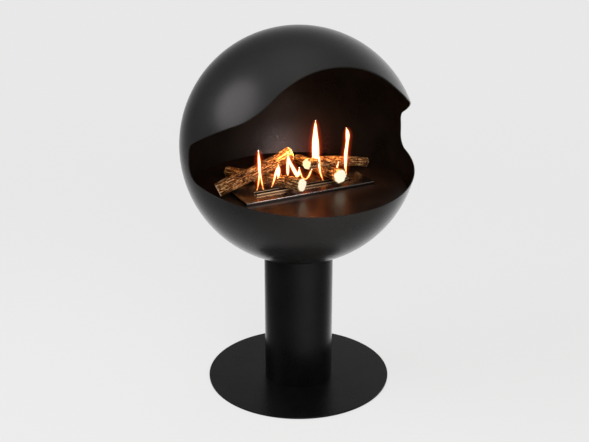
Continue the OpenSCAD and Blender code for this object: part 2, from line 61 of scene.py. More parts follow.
# Globe and its mouth: forward of the axis and up from the globe's centre, as the source has them
GLOBE_R = 0.335
WALL = 0.003
GLOBE = Vector((0, 0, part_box("firebox_shell")[1].z - GLOBE_R))
MOUTH_REAR = 0.0034
MOUTH_TOP = 0.049
MOUTH_BOTTOM = -0.0425
HOOD_RISE = math.radians(29.3)
HOOD_FRONT = 0.198
LIP_FALL = math.radians(9.4)
MOUTH_RADII = (0.043, 0.034, 0.075)
RIM_ROUND = 0.0012
RIM_POWER = 0.6

# Where the first columns of the globe's points lie, as shares of the way from the rim round to the
# mirror plane. The rest are evenly spaced from there on
NEAR_RIM = (0, 0.004, 0.012)
EVEN_FROM = 0.025

# Pedestal
TUBE_R = 0.100
TUBE_WALL = 0.003
SADDLE_GAP = 0.0002
SOFT_EDGE = 0.0006

# Hearth, burner cover and fire slot, whose middle line lies at SLOT_Y
HEARTH_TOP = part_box("hearth_plate")[1].z
COVER_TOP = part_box("burner_cover")[1].z
LIP_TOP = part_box("slot_lip_front")[1].z
SLOT_Y = -0.0305

# Packed plates that get rounded edges: the rounding and the finish
ROUNDED = {
    "base_plate": (0.0008, "black_steel"),
    "hearth_plate": (0.0006, "hearth_black"),
    "burner_cover": (0.0028, "cover_steel"),
    "slot_lip_front": (0.0004, "browned_steel"),
    "slot_lip_rear": (0.0004, "browned_steel"),
}


# Shader expressions


class Value:
    """One output of a shader's nodes, so that maths with it reads as plain arithmetic."""

    def __init__(self, shader, socket):
        self.shader = shader
        self.socket = socket

    def __add__(self, other):
        return self.shader.maths("ADD", self, other)

    def __radd__(self, other):
        return self.shader.maths("ADD", other, self)

    def __sub__(self, other):
        return self.shader.maths("SUBTRACT", self, other)

    def __rsub__(self, other):
        return self.shader.maths("SUBTRACT", other, self)

    def __mul__(self, other):
        return self.shader.maths("MULTIPLY", self, other)

    def __rmul__(self, other):
        return self.shader.maths("MULTIPLY", other, self)

    def step(self, low, high):
        """0 at low, 1 at high and smooth between them."""
        values = {"Value": self, "From Min": low, "From Max": high}
        return self.shader.node("MapRange", {"interpolation_type": "SMOOTHSTEP"}, values)


class Shader:
    """A node tree written as expressions: node() adds any node and gives one of its outputs."""

    def __init__(self, tree):
        self.tree = tree
        tree.nodes.clear()

    def node(self, kind, settings=None, values=None, output=0):
        """Adds a node, makes its settings and then gives its sockets their values or links."""
        made = self.tree.nodes.new("ShaderNode" + kind)
        for name, setting in (settings or {}).items():
            if name == "stops":
                self.set_stops(made.color_ramp, setting)
            else:
                setattr(made, name, setting)
        for name, value in (values or {}).items():
            if isinstance(value, Value):
                self.tree.links.new(value.socket, made.inputs[name])
            else:
                made.inputs[name].default_value = value
        return Value(self, made.outputs[output]) if len(made.outputs) else None

    def set_stops(self, ramp, stops):
        """Gives a colour ramp its stops: places with their colours."""
        while len(ramp.elements) < len(stops):
            ramp.elements.new(0.5)
        for element, (place, colour) in zip(ramp.elements, stops):
            element.position = place
            element.color = (*colour, 1)

    def maths(self, operation, *operands):
        """A number worked out from one or two numbers."""
        return self.node("Math", {"operation": operation}, dict(enumerate(operands)))

    def measure(self, operation, *vectors):
        """A number worked out from one or two vectors, such as a length."""
        return self.node("VectorMath", {"operation": operation}, dict(enumerate(vectors)), output="Value")

    def place(self, scale=(1, 1, 1)):
        """The object's own coordinates in metres, scaled along X, Y and Z."""
        coordinates = self.node("TexCoord", output="Object")
        return self.node("VectorMath", {"operation": "MULTIPLY"}, {0: coordinates, 1: scale})

    def coordinate(self, axis):
        """The object's own coordinate in metres along "X", "Y" or "Z"."""
        return self.node("SeparateXYZ", {}, {0: self.place()}, output=axis)

    def noise(self, size, stretch=(1, 1, 1), detail=3.0, roughness=0.5, distortion=0.0):
        """Noise with features of a size in metres, longer by stretch along X, Y and Z."""
        scale = tuple(1 / (size * share) for share in stretch)
        settings = {"Vector": self.place(scale), "Scale": 1.0, "Detail": detail, "Roughness": roughness}
        return self.node("TexNoise", {}, {**settings, "Distortion": distortion})

    def mixed(self, first, second, share):
        """A colour between two colours."""
        values = {0: share, 6: with_alpha(first), 7: with_alpha(second)}
        return self.node("Mix", {"data_type": "RGBA"}, values, output=2)

    def ramp(self, value, stops):
        """A colour from a list of stops, by a number from 0 to 1."""
        return self.node("ValToRGB", {"stops": stops}, {0: value})

    def attribute(self, name):
        """A number that each point of the mesh carries."""
        return self.node("Attribute", {"attribute_name": name}, output="Fac")

    def bump(self, height, depth, strength):
        """A surface direction, tilted as if the height's range of 1 stood a depth in metres tall."""
        return self.node("Bump", {}, {"Height": height, "Distance": depth, "Strength": strength})

    def surface(self, values):
        """The finished surface: constants go on the shader's own sockets."""
        shader = self.node("BsdfPrincipled", {}, values)
        self.node("OutputMaterial", {}, {"Surface": shader})


def with_alpha(value):
    """A colour with its alpha, or a link as it is."""
    return value if isinstance(value, Value) else (*value, 1)


def new_finish(name):
    """A new material with the shader that its nodes are written in."""
    material = bpy.data.materials.new(name)
    material.use_nodes = True
    return material, Shader(material.node_tree)


# Finishes: pairs of colours between which each one varies, and single colours of marks and of painted
# shade on them

COAT = (0.0020, 0.0020, 0.0021), (0.0036, 0.0034, 0.0034)
COAT_OUTSIDE = (0.0088, 0.0088, 0.0088), (0.0114, 0.0111, 0.0109)
ENAMEL = (0.0062, 0.0040, 0.0031), (0.0115, 0.0076, 0.0058)
PRIMER = (0.050, 0.050, 0.052), (0.075, 0.074, 0.074)
ZINC = (0.50, 0.52, 0.54), (0.62, 0.59, 0.52)
RUBBER = (0.024, 0.024, 0.024), (0.038, 0.037, 0.036)
FELT = (0.66, 0.63, 0.56), (0.86, 0.85, 0.80)
STEEL = (0.42, 0.40, 0.38), (0.58, 0.56, 0.53)
STRAW_TINT = (0.50, 0.35, 0.20)
# Painted shade on the face of the cover's folded edge
FOLD_PAINTED_SHADE = (0.10, 0.088, 0.080)
BROWNED = (0.46, 0.34, 0.21), (0.74, 0.60, 0.42)
# Painted shade at the feet of the slot's lips
LIP_PAINTED_SHADE = (0.070, 0.046, 0.028)
BARK_STOPS = [
    (0.16, (0.010, 0.0034, 0.0012)),
    (0.38, (0.040, 0.0145, 0.0048)),
    (0.56, (0.103, 0.040, 0.012)),
    (0.74, (0.218, 0.109, 0.041)),
    (0.92, (0.44, 0.295, 0.138)),
]
CUT_WOOD = (0.80, 0.73, 0.53), (0.94, 0.91, 0.78)
WOOD_EDGE = (0.60, 0.44, 0.23)

# The heat's tint fades between two distances from the slot, and the painted shade of the fold and of the
# lips' feet sets in between two depths under their top edges
TINT_FADE = (0.010, 0.055)
FOLD_SHADE_DEPTHS = (0.0040, 0.0012)
LIP_SHADE_DEPTHS = (0.0024, 0.0008)

# Growth rings: how many radians of their wave fit in the radius, and how far the mottle bends them
RING_WAVE = 34
RING_BEND = 9

# A flame's colours run over a height that starts at its foot
FLAME_FOOT = HEARTH_TOP + 0.020
FLAME_RISE = 0.060


def powder_coat(name, painted_shade_inside):
    """Satin black powder coat: a fine orange-peel grain, and faint clouds in its colour and gloss.

    On the globe the coat is paler outside, and darker inside as painted shade.
    """
    material, shader = new_finish(name)
    clouds = shader.noise(0.11, detail=4)
    grain = shader.noise(0.0028, detail=3, roughness=0.65)
    shade = shader.mixed(*COAT, clouds.step(0.3, 0.7))
    # Painted shade: inside the globe the coat keeps the darker colour, and outside it is paler
    if painted_shade_inside:
        pale = shader.mixed(*COAT_OUTSIDE, clouds.step(0.3, 0.7))
        from_middle = shader.measure("DISTANCE", shader.place(), GLOBE)
        shade = shader.mixed(shade, pale, from_middle.step(GLOBE_R - 0.8 * WALL, GLOBE_R - 0.2 * WALL))
    shader.surface({
        "Base Color": shade,
        "Roughness": 0.215 + 0.05 * clouds + 0.09 * grain,
        "IOR": 1.265,
        "Normal": shader.bump(grain, 0.00030, 0.5),
    })
    return material


def black_steel():
    return powder_coat("black_steel", painted_shade_inside=False)


def globe_black():
    return powder_coat("globe_black", painted_shade_inside=True)


def hearth_black():
    """Semi-gloss heat-proof enamel: a finer grain than the coat's, faint clouds and long wiping marks."""
    material, shader = new_finish("hearth_black")
    clouds = shader.noise(0.06, detail=5)
    grain = shader.noise(0.0016, detail=2)
    wiped = shader.noise(0.012, (6, 1, 1), detail=3)
    shader.surface({
        "Base Color": shader.mixed(*ENAMEL, clouds.step(0.35, 0.75)),
        "Roughness": 0.27 + 0.06 * clouds + 0.05 * wiped,
        "IOR": 1.30,
        "Normal": shader.bump(grain, 0.0001, 0.4),
    })
    return material


def primed_steel():
    """Matt black primer with soft clouds and a fine grain."""
    material, shader = new_finish("primed_steel")
    clouds = shader.noise(0.03, detail=4)
    grain = shader.noise(0.0009, detail=2)
    shader.surface({
        "Base Color": shader.mixed(*PRIMER, clouds.step(0.3, 0.7)),
        "Roughness": 0.62 + 0.08 * grain,
        "Normal": shader.bump(grain, 0.0002, 0.5),
    })
    return material


def plated_steel():
    """Zinc plate: bright, with clouds from cool to warm and fine marks along the upright fasteners."""
    material, shader = new_finish("plated_steel")
    clouds = shader.noise(0.006, detail=3)
    marks = shader.noise(0.0005, (1, 1, 6), detail=2)
    shader.surface({
        "Base Color": shader.mixed(*ZINC, clouds.step(0.35, 0.7)),
        "Metallic": 1.0,
        "Roughness": 0.26 + 0.14 * marks,
        "Normal": shader.bump(marks, 0.00005, 0.4),
    })
    return material


def floor_rubber():
    """Matt black rubber with a fine pebble."""
    material, shader = new_finish("floor_rubber")
    pebble = shader.noise(0.0008, detail=2)
    shader.surface({
        "Base Color": shader.mixed(*RUBBER, pebble),
        "Roughness": 0.78 + 0.1 * pebble,
        "Normal": shader.bump(pebble, 0.0002, 0.6),
    })
    return material


def fibre():
    """White ceramic-fibre felt: crossing hair-fine strands and soft clouds."""
    material, shader = new_finish("fibre")
    strands = shader.noise(0.0007, (12, 1, 1), detail=3, distortion=1.2)
    crossing = shader.noise(0.0007, (1, 12, 1), detail=3, distortion=1.2)
    clouds = shader.noise(0.02, detail=4)
    felt = shader.maths("MAXIMUM", strands, crossing)
    shader.surface({
        "Base Color": shader.mixed(*FELT, felt.step(0.35, 0.7) * clouds.step(0.2, 0.7)),
        "Roughness": 0.92,
        "Normal": shader.bump(felt, 0.0004, 0.7),
    })
    return material


def grinding(shader):
    """Hair-fine grinding marks along X."""
    return shader.noise(0.0004, (90, 1, 1), detail=4, roughness=0.6)


def ground_steel(name, painted_shade_fold):
    """Satin stainless ground along X, with a straw tint from the heat beside the fire slot.

    On the burner's cover the folded edge is painted dark below its bright top, as painted shade.
    """
    material, shader = new_finish(name)
    ground = grinding(shader)
    clouds = shader.noise(0.05, (3, 1, 1), detail=3)
    from_slot = shader.maths("ABSOLUTE", shader.coordinate("Y") - SLOT_Y)
    heat = (1 - from_slot.step(*TINT_FADE)) * (0.6 + 0.4 * clouds)
    shade = shader.mixed(shader.mixed(*STEEL, ground), STRAW_TINT, 0.8 * heat)
    if painted_shade_fold:
        # Painted shade on the fold's face below its bright top edge
        bright = shader.coordinate("Z").step(*(COVER_TOP - depth for depth in FOLD_SHADE_DEPTHS))
        shade = shader.mixed(FOLD_PAINTED_SHADE, shade, bright)
    shader.surface({
        "Base Color": shade,
        "Metallic": 1.0,
        "Roughness": 0.15 + 0.12 * ground + 0.05 * clouds,
        "Normal": shader.bump(ground, 0.00004, 0.5),
    })
    return material


def stainless():
    return ground_steel("stainless", painted_shade_fold=False)


def cover_steel():
    return ground_steel("cover_steel", painted_shade_fold=True)


def browned_steel():
    """Stainless browned by the flames beside it: painted dark at its foot as painted shade, and bright
    along its top edge.
    """
    material, shader = new_finish("browned_steel")
    ground = grinding(shader)
    clouds = shader.noise(0.018, (3, 1, 1), detail=3)
    browned = shader.mixed(*BROWNED, clouds * 0.7 + ground * 0.3)
    # Painted shade on the lip's face below its bright top edge
    bright = shader.coordinate("Z").step(*(LIP_TOP - depth for depth in LIP_SHADE_DEPTHS))
    shader.surface({
        "Base Color": shader.mixed(LIP_PAINTED_SHADE, browned, bright),
        "Metallic": 1.0,
        "Roughness": 0.26 + 0.12 * ground,
        "Normal": shader.bump(ground, 0.00004, 0.5),
    })
    return material


def log_ceramic():
    """Painted ceramic bark: dark in its cracks, tan on its ridges, with pale ringed cut ends.

    The mesh carries the bark's tone, how much of the cut shows, and the reach from the log's
    middle, which is 1 at the bark.
    """
    material, shader = new_finish("log_ceramic")
    tone = shader.attribute("tone")
    cut = shader.attribute("cut")
    reach = shader.attribute("reach")
    mottle = shader.noise(0.009, detail=5, roughness=0.62)
    speck = shader.noise(0.0013, detail=3)
    bark_shade = shader.ramp(tone * 0.84 + mottle * 0.17 + speck * 0.18 - 0.08, BARK_STOPS)
    rings = shader.maths("SINE", reach * RING_WAVE + mottle * RING_BEND)
    wood = shader.mixed(*CUT_WOOD, rings * 0.35 + mottle * 0.9 + 0.2)
    wood = shader.mixed(wood, WOOD_EDGE, reach.step(0.90, 0.99) * 0.7)
    shader.surface({
        "Base Color": shader.mixed(bark_shade, wood, cut.step(0.3, 0.8)),
        "Roughness": 0.86 - 0.12 * speck,
        "Specular IOR Level": 0.15,
        "Normal": shader.bump(speck * 0.6 + mottle, 0.0009, 0.7),
    })
    return material


def flame_finish(name, stops, strength, cover):
    """Glowing gas: its colour changes with the height over the burner, and it is clearer low down."""
    material, shader = new_finish(name)
    rise = (shader.coordinate("Z") - FLAME_FOOT) * (1 / FLAME_RISE)
    shader.surface({
        "Base Color": (0, 0, 0, 1),
        "Roughness": 1.0,
        "Specular IOR Level": 0.0,
        "Emission Color": shader.ramp(rise, stops),
        "Emission Strength": strength,
        "Alpha": cover * (0.4 + 0.6 * rise.step(0, 0.4)),
    })
    material.cycles.emission_sampling = "NONE"
    return material


FINISHES = {make.__name__: make() for make in (
    black_steel, globe_black, hearth_black, primed_steel, plated_steel, floor_rubber, fibre, stainless,
    cover_steel, browned_steel, log_ceramic)}


# Surfaces worked out on grids

# Points closer than MERGE become one, and faces that turn by less than FLAT_ANGLE are one flat face
MERGE = 1e-6
FLAT_ANGLE = math.radians(0.4)
MIRROR = np.array([-1, 1, 1])


def unit(vectors):
    """The same directions at a length of 1."""
    return vectors / np.linalg.norm(vectors, axis=-1, keepdims=True)


def closer_at_ends(count):
    """Shares from 0 to 1 that lie closer together at both ends, as half a cosine wave does."""
    return 0.5 - 0.5 * np.cos(np.linspace(0, np.pi, count))


def slerp(first, last, share):
    """Points on the great circles from first to last, at shares of the way."""
    length = np.linalg.norm(first, axis=-1, keepdims=True)
    cosine = np.clip((first * last).sum(-1, keepdims=True) / length**2, -1, 1)
    angle = np.maximum(np.arccos(cosine), 1e-7)
    return (first * np.sin((1 - share) * angle) + last * np.sin(share * angle)) / np.sin(angle)


def rounded_path(corners, radii, steps=24):
    """An open line whose inner corners are arcs that touch both of their sides."""
    corners = [np.array(corner, float) for corner in corners]
    path = [corners[0][None]]
    for before, at, after, radius in zip(corners, corners[1:], corners[2:], radii):
        back, on = unit(before - at), unit(after - at)
        half = 0.5 * math.acos(np.clip(back @ on, -1, 1))
        centre = at + unit(back + on) * radius / math.sin(half)
        first = at + back * radius / math.tan(half) - centre
        last = at + on * radius / math.tan(half) - centre
        path.append(centre + slerp(first, last, np.linspace(0, 1, steps + 1)[:, None]))
    return np.concatenate(path + [corners[-1][None]])


def along_path(path, shares):
    """Points at shares of a line's length."""
    run = np.concatenate([[0], np.cumsum(np.linalg.norm(np.diff(path, axis=0), axis=1))])
    return np.stack([np.interp(shares * run[-1], run, column) for column in path.T], axis=-1)


def grid_faces(rows, columns, wrap_rows=False, wrap_columns=False):
    """Corner numbers of the quads of a grid of points."""
    row = np.arange(rows if wrap_rows else rows - 1)[:, None]
    column = np.arange(columns if wrap_columns else columns - 1)[None, :]
    next_row = (row + 1) % rows
    next_column = (column + 1) % columns
    corners = [row * columns + column, row * columns + next_column,
        next_row * columns + next_column, next_row * columns + column]
    return np.stack(corners, axis=-1).reshape(-1, 4)


def solid(name, grids, finish, sharp=None, attributes=None):
    """A closed piece of one or more grids, each given as points, wrap_rows and wrap_columns."""
    points, faces, count = [], [], 0
    for grid, wrap_rows, wrap_columns in grids:
        rows, columns = grid.shape[:2]
        points.append(grid.reshape(-1, 3))
        faces.append(grid_faces(rows, columns, wrap_rows, wrap_columns) + count)
        count += rows * columns
    mesh = bpy.data.meshes.new(name)
    mesh.from_pydata(np.concatenate(points), [], np.concatenate(faces))
    for label, values in (attributes or {}).items():
        layer = mesh.attributes.new(label, "FLOAT", "POINT")
        layer.data.foreach_set("value", values.ravel().astype(np.float32))
    close_seams(mesh)
    return shown(name, mesh, finish, sharp)


def close_seams(mesh):
    """Joins the points that meet at seams and poles, and turns every face outwards."""
    editing = bmesh.new()
    editing.from_mesh(mesh)
    bmesh.ops.remove_doubles(editing, verts=editing.verts, dist=MERGE)
    bmesh.ops.dissolve_degenerate(editing, edges=editing.edges, dist=MERGE / 10)
    bmesh.ops.recalc_face_normals(editing, faces=editing.faces)
    editing.to_mesh(mesh)
    editing.free()


def shown(name, mesh, finish, sharp=None):
    """An object for a mesh, smooth but for edges sharper than an angle."""
    mesh.materials.clear()
    mesh.materials.append(finish)
    mesh.shade_smooth()
    if sharp is not None:
        mesh.set_sharp_from_angle(angle=sharp)
    piece = bpy.data.objects.new(name, mesh)
    bpy.context.scene.collection.objects.link(piece)
    return piece


def turned(name, profile, finish, segments=256):
    """A closed profile of radius and height, carried round the upright axis."""
    angle = np.linspace(0, 2 * np.pi, segments, endpoint=False)[None, :]
    radius, height = np.array(profile).T[:, :, None]
    grid = np.stack([radius * np.cos(angle), radius * np.sin(angle), height + 0 * angle], axis=-1)
    return solid(name, [(grid, True, True)], finish, sharp=math.radians(35))


def softened(corners, radius, steps=4):
    """A closed profile with every corner rounded."""
    looped = [corners[-1], *corners, corners[0]]
    return rounded_path(looped, [radius] * len(corners), steps)[1:-1]


def dressed(node, edge, finish):
    """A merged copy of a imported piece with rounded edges, which stands for it."""
    editing = bmesh.new()
    editing.from_mesh(frame["nodes"][node].data)
    bmesh.ops.remove_doubles(editing, verts=editing.verts, dist=MERGE)
    bmesh.ops.dissolve_limit(editing, angle_limit=FLAT_ANGLE, verts=editing.verts, edges=editing.edges)
    mesh = bpy.data.meshes.new(node + "_dressed")
    editing.to_mesh(mesh)
    editing.free()
    piece = shown(node + "_dressed", mesh, FINISHES[finish], sharp=math.radians(30))
    rounding = piece.modifiers.new("rounding", "BEVEL")
    rounding.width = edge
    rounding.segments = 3
    rounding.limit_method = "ANGLE"
    rounding.angle_limit = math.radians(40)
    stands_for(piece, node)


def slot_of(node):
    """The record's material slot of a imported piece."""
    for part in frame["record"]["subparts"]:
        if part["node"] == node:
            return part["material_slot"]
    raise KeyError(node)


def stands_for(piece, node, body="fireplace"):
    """Puts a finished piece in the place of a packed one."""
    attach(piece, body)
    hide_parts(node)
    slot_of(node)


# Globe


def mouth_rim(radius, rows, fine=6001):
    """The mouth's right edge on a sphere, from the lip's middle round the side to the hood's middle.

    The mouth is one outline seen from the side, cut straight through: each of its points
    lies on the sphere where the three squares of its place add up to the radius squared.
    The outline is first followed in many fine steps, and the rows are then spaced evenly.
    """
    lower = np.array([MOUTH_REAR, MOUTH_BOTTOM])
    upper = np.array([MOUTH_REAR, MOUTH_TOP])
    fall = np.array([math.cos(LIP_FALL), -math.sin(LIP_FALL)])
    lip = lower + fall * (-(lower @ fall) + math.sqrt((lower @ fall) ** 2 + radius**2 - lower @ lower))
    corner = (HOOD_FRONT, MOUTH_TOP + (HOOD_FRONT - MOUTH_REAR) * math.tan(HOOD_RISE))
    hood = (HOOD_FRONT, math.sqrt(radius**2 - HOOD_FRONT**2))
    outline = rounded_path([lip, lower, upper, corner, hood], MOUTH_RADII)
    forward, up = along_path(outline, closer_at_ends(fine)).T
    side = np.sqrt(np.maximum(radius**2 - forward**2 - up**2, 0))
    return along_path(np.stack([side, -forward, up], axis=-1), np.linspace(0, 1, rows + 1))


def towards_mouth(rim):
    """Directions along the sphere, square to the rim, that point into the mouth."""
    run = np.gradient(rim, axis=0)
    run[0] = (1, 0, 0)
    run[-1] = (-1, 0, 0)
    return unit(np.cross(unit(rim), run))


def globe_sheet(edge, radius, columns):
    """The sphere between the mouth's two edges.

    Great circles run from the right edge to the mirror plane, closer together beside the rim,
    and their mirror images run on to the left edge.
    """
    first = math.atan2(edge[0, 2], -edge[0, 1])
    last = math.atan2(edge[-1, 2], -edge[-1, 1]) - 2 * math.pi
    turn = np.linspace(first, last, len(edge))
    middle = radius * np.stack([0 * turn, -np.cos(turn), np.sin(turn)], axis=-1)
    shares = np.concatenate([NEAR_RIM, np.linspace(EVEN_FROM, 1, columns)])
    right = slerp(edge[:, None], middle[:, None], shares[None, :, None])
    left = right[:, -2::-1] * MIRROR
    return np.concatenate([right, left], axis=1)


def rim_strip(outer, inner, into, columns=9):
    """The rounded rim between the two walls: a squarish half circle across the sheet.

    How far a point lies across the sheet and into the mouth are the cosine and the sine of its
    angle, both raised to RIM_POWER.
    """
    angle = np.linspace(0, np.pi, columns)[None, :, None]
    across = np.sign(np.cos(angle)) * np.abs(np.cos(angle)) ** RIM_POWER
    out = np.sin(angle) ** RIM_POWER
    middle, half = (outer + inner)[:, None] / 2, (outer - inner)[:, None] / 2
    return middle + half * across + RIM_ROUND * into[:, None] * out


def firebox_shell(rows=220, columns=60):
    """The globe: outer wall, inner wall and the rounded rim of the side-wide mouth."""
    edges, intos = [], []
    for radius in (GLOBE_R, GLOBE_R - WALL):
        rim = mouth_rim(radius, rows)
        into = towards_mouth(rim)
        edges.append(unit(rim - RIM_ROUND * into) * radius)
        intos.append(into)
    outer, inner = edges
    strip = rim_strip(outer, inner, intos[0])
    walls = [globe_sheet(outer, GLOBE_R, columns), globe_sheet(inner, GLOBE_R - WALL, columns)]
    grids = [(sheet + np.array(GLOBE), False, False) for sheet in (*walls, strip, strip * MIRROR)]
    piece = solid("globe", grids, FINISHES["globe_black"], sharp=math.radians(60))
    stands_for(piece, "firebox_shell")


# Pedestal


def pedestal():
    """The tube: a wall turned round the axis, with its top edge just off the globe's outside."""
    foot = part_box("pedestal_tube")[0].z
    inner = TUBE_R - TUBE_WALL
    reach = GLOBE_R + SADDLE_GAP
    profile = [(TUBE_R, foot), (TUBE_R, GLOBE.z - math.sqrt(reach**2 - TUBE_R**2)),
        (inner, GLOBE.z - math.sqrt(reach**2 - inner**2)), (inner, foot)]
    piece = turned("pedestal", softened(profile, SOFT_EDGE), FINISHES["black_steel"])
    stands_for(piece, "pedestal_tube")


# Logs

# How each log is dressed: the seed of its noises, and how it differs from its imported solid
LOGS = {
    "log_left_lower": dict(seed=7, flare=0.10),
    "log_left_upper": dict(seed=107, flare=0.26, rise=0.004, first_cut=(-0.891, 0.197, -0.406)),
    "log_right_lower": dict(seed=207, flare=0.03),
    "log_right_upper": dict(seed=307, girth_share=1.13),
}

# Rings of points of a packed log, the place from 0 to 1 where a flare starts, and how far along the
# log a slanted cut moves its points
LOG_RINGS = 15
FLARE_START = 7 / 12
SLANT_REACH = 0.030

# Bark: what each noise adds to the seed, and the length of its cells along the log and their width
# across it. Then the furrows' width as a level of their noise, how deep each feature goes, and how
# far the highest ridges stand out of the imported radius
NOISE_CELLS = 64
BARK_NOISES = {
    "sway": (1, 0.030, 0.020),
    "furrows": (2, 0.075, 0.016),
    "breaks": (3, 0.020, 0.012),
    "flakes": (4, 0.0090, 0.0031),
    "fibres": (5, 0.032, 0.0020),
    "fine": (6, 0.0052, 0.0014),
    "swell": (7, 0.045, 0.022),
}
FURROW_WIDTH = 0.045
FURROW_DEPTH = 0.0018
FLAKE_DEPTH = 0.0008
FIBRE_DEPTH = 0.0009
FINE_DEPTH = 0.0003
SWELL_DEPTH = 0.0018
BARK_PROUD = 0.0011

# Noises of the ends: cells along the log or the radius, cells round it, and what the seed gets
SAW_MARKS = (6, 9, 20)
LOBES = (3, 9, 30)
NOTCHES = (5, 21, 40)

# Cuts: the shares of the radius at which a cut's rings of points lie, and how far out it is sawn
CUT_RINGS = np.array([0, 0.2, 0.45, 0.7, 0.86, 0.95])
SAWN_SHARE = 0.9
SAW_DEPTH = 0.0006

# Bark beside a cut: how deep its lobes, notches and worn edge go and how far they reach along the
# log, how much and how far a painted highlight pales it, and how much and how far the cut's colour runs
# over the edge
LOBE_DEPTH = 0.0046
NOTCH_DEPTH = 0.0034
END_REACH = 0.010
EDGE_DEPTH = 0.0007
EDGE_REACH = 0.0009
# A painted highlight pales the bark along each cut's rim
RIM_HIGHLIGHT_SHARE = 0.5
RIM_HIGHLIGHT_REACH = 0.0030
WORN_SHARE = 0.66
WORN_REACH = 0.0012
WORN_NOTCH = 0.0075


def fade(distance, reach):
    """1 at no distance, and nearly 0 past twice the reach: a bell curve."""
    return np.exp(-((distance / reach) ** 2))


def wrapped_noise(u, v, v_cells, seed):
    """Gradient noise over cells of one unit, which repeats after NOISE_CELLS of u and v_cells of v.

    Each cell's corner has a random slope, and the four slopes' heights blend smoothly between them.
    """
    slopes = np.random.default_rng(seed).uniform(0, 2 * np.pi, (NOISE_CELLS, v_cells))
    cell_u, cell_v = np.floor(u).astype(int), np.floor(v).astype(int)
    x, y = u - cell_u, v - cell_v

    def corner(du, dv):
        slope = slopes[(cell_u + du) % NOISE_CELLS, (cell_v + dv) % v_cells]
        return np.cos(slope) * (x - du) + np.sin(slope) * (y - dv)

    fade_x, fade_y = (t**3 * (t * (6 * t - 15) + 10) for t in (x, y))
    low = corner(0, 0) + fade_x * (corner(1, 0) - corner(0, 0))
    high = corner(0, 1) + fade_x * (corner(1, 1) - corner(0, 1))
    return low + fade_y * (high - low)


def end_noise(shares, turn, cells, seed):
    """Noise that closes round a log, for one of the noises of its ends."""
    along, around, salt = cells
    return wrapped_noise(shares[:, None] * along + 0 * turn, turn * around, around, seed + salt)


def bark(along, turn, girth, seed):
    """Depth of the bark under its ridges, and its tone from 0 in the furrows to 1 on the ridges.

    Long furrows follow the lines where a noise that is stretched along the log crosses zero.
    Flakes and fibres are finer noises, stretched the same way, and a slow one swells the log.
    """
    def noise(part, drift=0.0, sideways=0.0):
        salt, length, width = BARK_NOISES[part]
        cells = max(3, round(girth / width))
        return wrapped_noise(along / length + drift, turn * cells + sideways, cells, seed + salt)

    sway = noise("sway")
    furrows = fade(noise("furrows", sideways=0.7 * sway), FURROW_WIDTH) * (0.7 + 0.8 * noise("breaks"))
    flakes = noise("flakes", drift=0.5 * sway)
    fibres = noise("fibres", drift=0.3 * sway)
    fine = noise("fine")
    swell = noise("swell")
    depth = (FURROW_DEPTH * furrows + FLAKE_DEPTH * (0.5 - flakes) + FIBRE_DEPTH * (0.5 - fibres)
        + FINE_DEPTH * fine + SWELL_DEPTH * (0.4 - swell))
    tone = 0.52 - 0.50 * furrows + 0.65 * flakes + 1.10 * fibres + 0.60 * fine + 0.15 * swell
    return np.maximum(depth, 0), np.clip(tone, 0, 1)


def log_stations(node):
    """Middle and radius of each ring of a packed log, read from its mesh."""
    mesh = frame["nodes"][node].data
    points = np.empty(len(mesh.vertices) * 3)
    mesh.vertices.foreach_get("co", points)
    points = np.unique(points.reshape(-1, 3).round(6), axis=0)
    middle = points.mean(axis=0)
    axis = np.linalg.svd(points - middle, full_matrices=False)[2][0]
    along = (points - middle) @ axis
    order = np.argsort(along)
    breaks = np.sort(np.argsort(np.diff(along[order]))[-(LOG_RINGS - 1):]) + 1
    rings = np.split(points[order], breaks)
    centres = np.array([ring.mean(axis=0) for ring in rings])
    from_middle = [np.linalg.norm(ring - centre, axis=1) for ring, centre in zip(rings, centres)]
    return centres, np.array([distances.mean() for distances in from_middle])


def log_line(centres, radii, place):
    """A log's axis, direction and radius at places from 0 to 1, by polynomials fitted to its rings."""
    station = np.linspace(0, 1, LOG_RINGS)
    curves = [np.polyfit(station, line, 2) for line in centres.T]
    axis = np.stack([np.polyval(curve, place) for curve in curves], axis=-1)
    run = unit(np.stack([np.polyval(np.polyder(curve), place) for curve in curves], axis=-1))
    return axis, run, np.polyval(np.polyfit(station, radii, 4), place)


def log_skin(place, shares, from_end, turn, along, girth, seed):
    """The bark's depth and tone over a log and its ends, and how much of the cut's colour shows.

    Beside a cut, lobes and notches chip the bark, its edge is worn down and paler with a painted
    highlight, and the cut's colour runs over the edge, further at a notch.
    """
    depth, tone = bark(along + 0 * turn, turn + 0 * along, girth, seed)
    # Painted highlight: the bark's tone pales along the cut's rim
    tone = np.clip(tone + RIM_HIGHLIGHT_SHARE * fade(from_end, RIM_HIGHLIGHT_REACH), 0, 1)
    notches = np.abs(end_noise(place, turn, NOTCHES, seed))
    chipped = LOBE_DEPTH * end_noise(place, turn, LOBES, seed) + NOTCH_DEPTH * notches
    depth = depth + EDGE_DEPTH * fade(from_end, EDGE_REACH) + fade(from_end, END_REACH) * chipped
    worn = WORN_SHARE * fade(from_end, WORN_REACH + WORN_NOTCH * notches)
    return depth, tone, np.where((shares < 1)[:, None], 1.0, worn)


